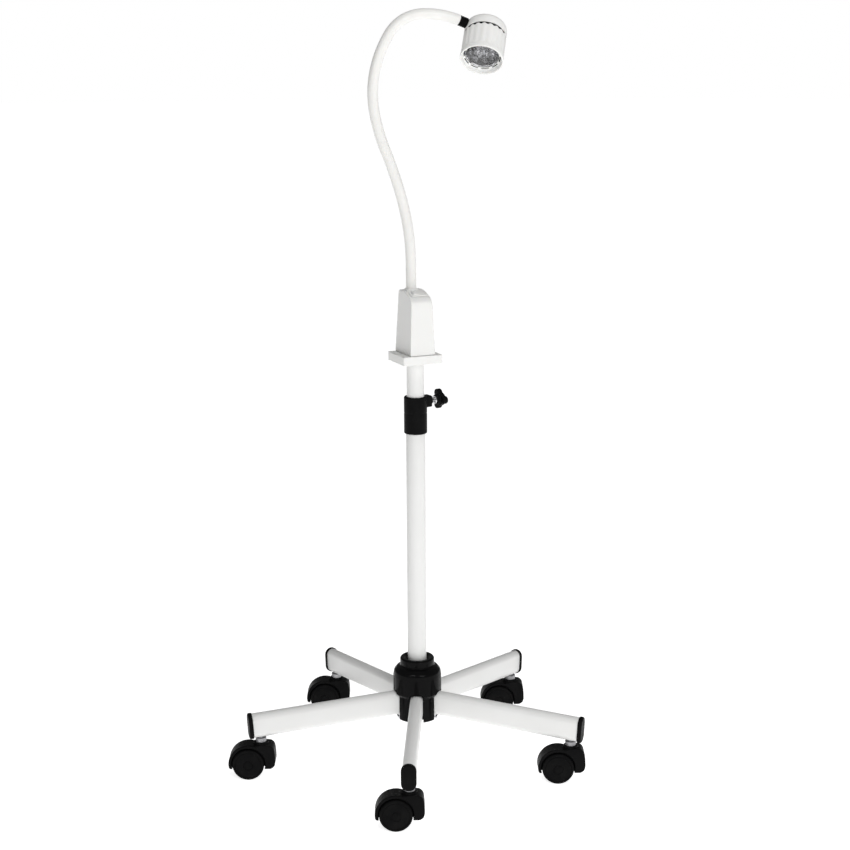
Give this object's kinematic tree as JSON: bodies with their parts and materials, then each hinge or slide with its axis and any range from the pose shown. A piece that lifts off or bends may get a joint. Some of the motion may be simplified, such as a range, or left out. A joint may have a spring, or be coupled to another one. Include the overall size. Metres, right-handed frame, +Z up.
{
  "type": "surgical light",
  "caption": "Small wheeled examination light: tapered power box on a telescopic mast, bendable gooseneck and short drum-shaped lamp head on a five-leg caster base.",
  "frame": {"origin": "centre of the footprint box, at floor level under the wheels", "axes": "+Z up the mast, front leg points to -Y, casters trail towards -X, lamp head to the +X side"},
  "size_m": [0.5607, 0.5142, 1.1839],
  "materials": {
    "powder_white": "white powder coat, semi-gloss",
    "black_gloss": "glossy moulded black",
    "black_matte": "fine-textured black",
    "black_wheel": "smooth hard black tread",
    "steel": "plated",
    "core_steel": "laminated core",
    "white_plastic": "moulded white, satin gloss",
    "gray_plastic": "natural gray",
    "neck_white": "smooth white sleeve, satin",
    "reflector": "faceted mirror coating",
    "glass": "clear",
    "quartz": "clear quartz",
    "ceramic": "unglazed ceramic"
  },
  "bodies": {
    "base": {"hub": "black_gloss", "legs": "powder_white", "leg_end_caps": "black_matte", "leg_screws": "steel", "caster_stems": "steel", "outer_tube": "powder_white", "clamp_collar": "black_matte", "clamp_pad": "gray_plastic"},
    "mast": {"inner_tube": "powder_white", "tube_glide": "gray_plastic"},
    "housing": {"housing_shell": "white_plastic", "base_plate": "white_plastic", "transformer": "core_steel", "housing_screws": "steel", "switch_frame": "white_plastic", "cable_gland": "gray_plastic", "neck_clip": "steel", "neck_base": "neck_white"},
    "rocker": {"switch_rocker": "white_plastic"},
    "clamp_knob": {"clamp_knob": "black_matte", "clamp_screw": "steel"},
    "neck_1": {"neck_section_1": "neck_white"},
    "neck_2": {"neck_section_2": "neck_white"},
    "neck_3": {"neck_section_3": "neck_white"},
    "neck_4": {"neck_section_4": "neck_white"},
    "neck_5": {"neck_section_5": "neck_white"},
    "neck_6": {"neck_section_6": "neck_white"},
    "neck_7": {"neck_section_7": "neck_white"},
    "neck_8": {"neck_section_8": "neck_white", "neck_end_pin": "steel"},
    "head": {"swivel_sleeve": "black_matte", "head_rear_cap": "white_plastic", "head_vent_ring": "black_matte", "head_body": "white_plastic", "bezel": "white_plastic", "lamp_reflector": "reflector", "lamp_glass": "glass", "lamp_capsule": "quartz", "lamp_base": "ceramic", "lamp_socket": "ceramic"},
    "caster_1": {"caster_1_hood": "black_matte", "caster_1_axle": "steel"},
    "caster_1_wheel_a": {"caster_1_wheel_a": "black_wheel"},
    "caster_1_wheel_b": {"caster_1_wheel_b": "black_wheel"},
    "caster_2": {"caster_2_hood": "black_matte", "caster_2_axle": "steel"},
    "caster_2_wheel_a": {"caster_2_wheel_a": "black_wheel"},
    "caster_2_wheel_b": {"caster_2_wheel_b": "black_wheel"},
    "caster_3": {"caster_3_hood": "black_matte", "caster_3_axle": "steel"},
    "caster_3_wheel_a": {"caster_3_wheel_a": "black_wheel"},
    "caster_3_wheel_b": {"caster_3_wheel_b": "black_wheel"},
    "caster_4": {"caster_4_hood": "black_matte", "caster_4_axle": "steel"},
    "caster_4_wheel_a": {"caster_4_wheel_a": "black_wheel"},
    "caster_4_wheel_b": {"caster_4_wheel_b": "black_wheel"},
    "caster_5": {"caster_5_hood": "black_matte", "caster_5_axle": "steel"},
    "caster_5_wheel_a": {"caster_5_wheel_a": "black_wheel"},
    "caster_5_wheel_b": {"caster_5_wheel_b": "black_wheel"}
  },
  "joints": [
    {"name": "mast_slide", "type": "slide", "parent": "base", "child": "mast", "axis": [0, 0, 1], "range_m": [-0.04, 0.15]},
    {"name": "housing_swivel", "type": "hinge", "parent": "mast", "child": "housing", "pos_m": [0.0181, 0.0195, 0.6535], "axis": [0, 0, 1], "range_deg": [-170, 170]},
    {"name": "switch_press", "type": "hinge", "parent": "housing", "child": "rocker", "pos_m": [0.02293, 0.01375, 0.75805], "axis": [-0.3707, 0.8733, 0.3161], "range_deg": [-14, 0]},
    {"name": "clamp_turn", "type": "hinge", "parent": "base", "child": "clamp_knob", "pos_m": [0.0181, 0.0195, 0.5892], "axis": [0.8387, 0.5446, 0], "range_deg": [0, 450]},
    {"name": "neck_bend_1", "type": "hinge", "parent": "housing", "child": "neck_1", "pos_m": [0.01256, 0.03562, 0.802], "axis": [-0.2436, 0.9699, 0], "range_deg": [-20, 20]},
    {"name": "neck_bend_2", "type": "hinge", "parent": "neck_1", "child": "neck_2", "pos_m": [0.00783, 0.03443, 0.86133], "axis": [0.9568, 0.2403, 0.1633], "range_deg": [-20, 20]},
    {"name": "neck_bend_3", "type": "hinge", "parent": "neck_2", "child": "neck_3", "pos_m": [-0.00541, 0.0311, 0.9193], "axis": [-0.2436, 0.9699, 0], "range_deg": [-20, 20]},
    {"name": "neck_bend_4", "type": "hinge", "parent": "neck_3", "child": "neck_4", "pos_m": [-0.0247, 0.02626, 0.97547], "axis": [-0.2436, 0.9699, 0], "range_deg": [-20, 20]},
    {"name": "neck_bend_5", "type": "hinge", "parent": "neck_4", "child": "neck_5", "pos_m": [-0.0405, 0.02229, 1.03268], "axis": [0.9554, 0.24, 0.1719], "range_deg": [-20, 20]},
    {"name": "neck_bend_6", "type": "hinge", "parent": "neck_5", "child": "neck_6", "pos_m": [-0.0393, 0.02259, 1.0919], "axis": [-0.2436, 0.9699, 0], "range_deg": [-22, 18]},
    {"name": "neck_bend_7", "type": "hinge", "parent": "neck_6", "child": "neck_7", "pos_m": [-0.01748, 0.02807, 1.14676], "axis": [-0.2436, 0.9699, 0], "range_deg": [-22, 14]},
    {"name": "neck_bend_8", "type": "hinge", "parent": "neck_7", "child": "neck_8", "pos_m": [0.03053, 0.04013, 1.17575], "axis": [0.0508, 0.0127, -0.9986], "range_deg": [-22, 22]},
    {"name": "head_swivel", "type": "hinge", "parent": "neck_8", "child": "head", "pos_m": [0.12762, 0.06452, 1.14994], "axis": [0.903, 0.2268, -0.3649], "range_deg": [-90, 90]},
    {"name": "caster_1_swivel", "type": "hinge", "parent": "base", "child": "caster_1", "pos_m": [0.00537, -0.23618, 0.058], "axis": [0, 0, 1], "continuous": true},
    {"name": "caster_1_roll_a", "type": "hinge", "parent": "caster_1", "child": "caster_1_wheel_a", "pos_m": [-0.01463, -0.23618, 0.025], "axis": [0, 1, 0], "continuous": true},
    {"name": "caster_1_roll_b", "type": "hinge", "parent": "caster_1", "child": "caster_1_wheel_b", "pos_m": [-0.01463, -0.23618, 0.025], "axis": [0, 1, 0], "continuous": true},
    {"name": "caster_2_swivel", "type": "hinge", "parent": "base", "child": "caster_2", "pos_m": [0.25734, -0.07162, 0.058], "axis": [0, 0, 1], "continuous": true},
    {"name": "caster_2_roll_a", "type": "hinge", "parent": "caster_2", "child": "caster_2_wheel_a", "pos_m": [0.23734, -0.07162, 0.025], "axis": [0, 1, 0], "continuous": true},
    {"name": "caster_2_roll_b", "type": "hinge", "parent": "caster_2", "child": "caster_2_wheel_b", "pos_m": [0.23734, -0.07162, 0.025], "axis": [0, 1, 0], "continuous": true},
    {"name": "caster_3_swivel", "type": "hinge", "parent": "base", "child": "caster_3", "pos_m": [0.17869, 0.21887, 0.058], "axis": [0, 0, 1], "continuous": true},
    {"name": "caster_3_roll_a", "type": "hinge", "parent": "caster_3", "child": "caster_3_wheel_a", "pos_m": [0.15868, 0.21887, 0.025], "axis": [0, 1, 0], "continuous": true},
    {"name": "caster_3_roll_b", "type": "hinge", "parent": "caster_3", "child": "caster_3_wheel_b", "pos_m": [0.15868, 0.21887, 0.025], "axis": [0, 1, 0], "continuous": true},
    {"name": "caster_4_swivel", "type": "hinge", "parent": "base", "child": "caster_4", "pos_m": [-0.12189, 0.23383, 0.058], "axis": [0, 0, 1], "continuous": true},
    {"name": "caster_4_roll_a", "type": "hinge", "parent": "caster_4", "child": "caster_4_wheel_a", "pos_m": [-0.14189, 0.23383, 0.025], "axis": [0, 1, 0], "continuous": true},
    {"name": "caster_4_roll_b", "type": "hinge", "parent": "caster_4", "child": "caster_4_wheel_b", "pos_m": [-0.14189, 0.23383, 0.025], "axis": [0, 1, 0], "continuous": true},
    {"name": "caster_5_swivel", "type": "hinge", "parent": "base", "child": "caster_5", "pos_m": [-0.229, -0.04741, 0.058], "axis": [0, 0, 1], "continuous": true},
    {"name": "caster_5_roll_a", "type": "hinge", "parent": "caster_5", "child": "caster_5_wheel_a", "pos_m": [-0.249, -0.04741, 0.025], "axis": [0, 1, 0], "continuous": true},
    {"name": "caster_5_roll_b", "type": "hinge", "parent": "caster_5", "child": "caster_5_wheel_b", "pos_m": [-0.249, -0.04741, 0.025], "axis": [0, 1, 0], "continuous": true}
  ]
}
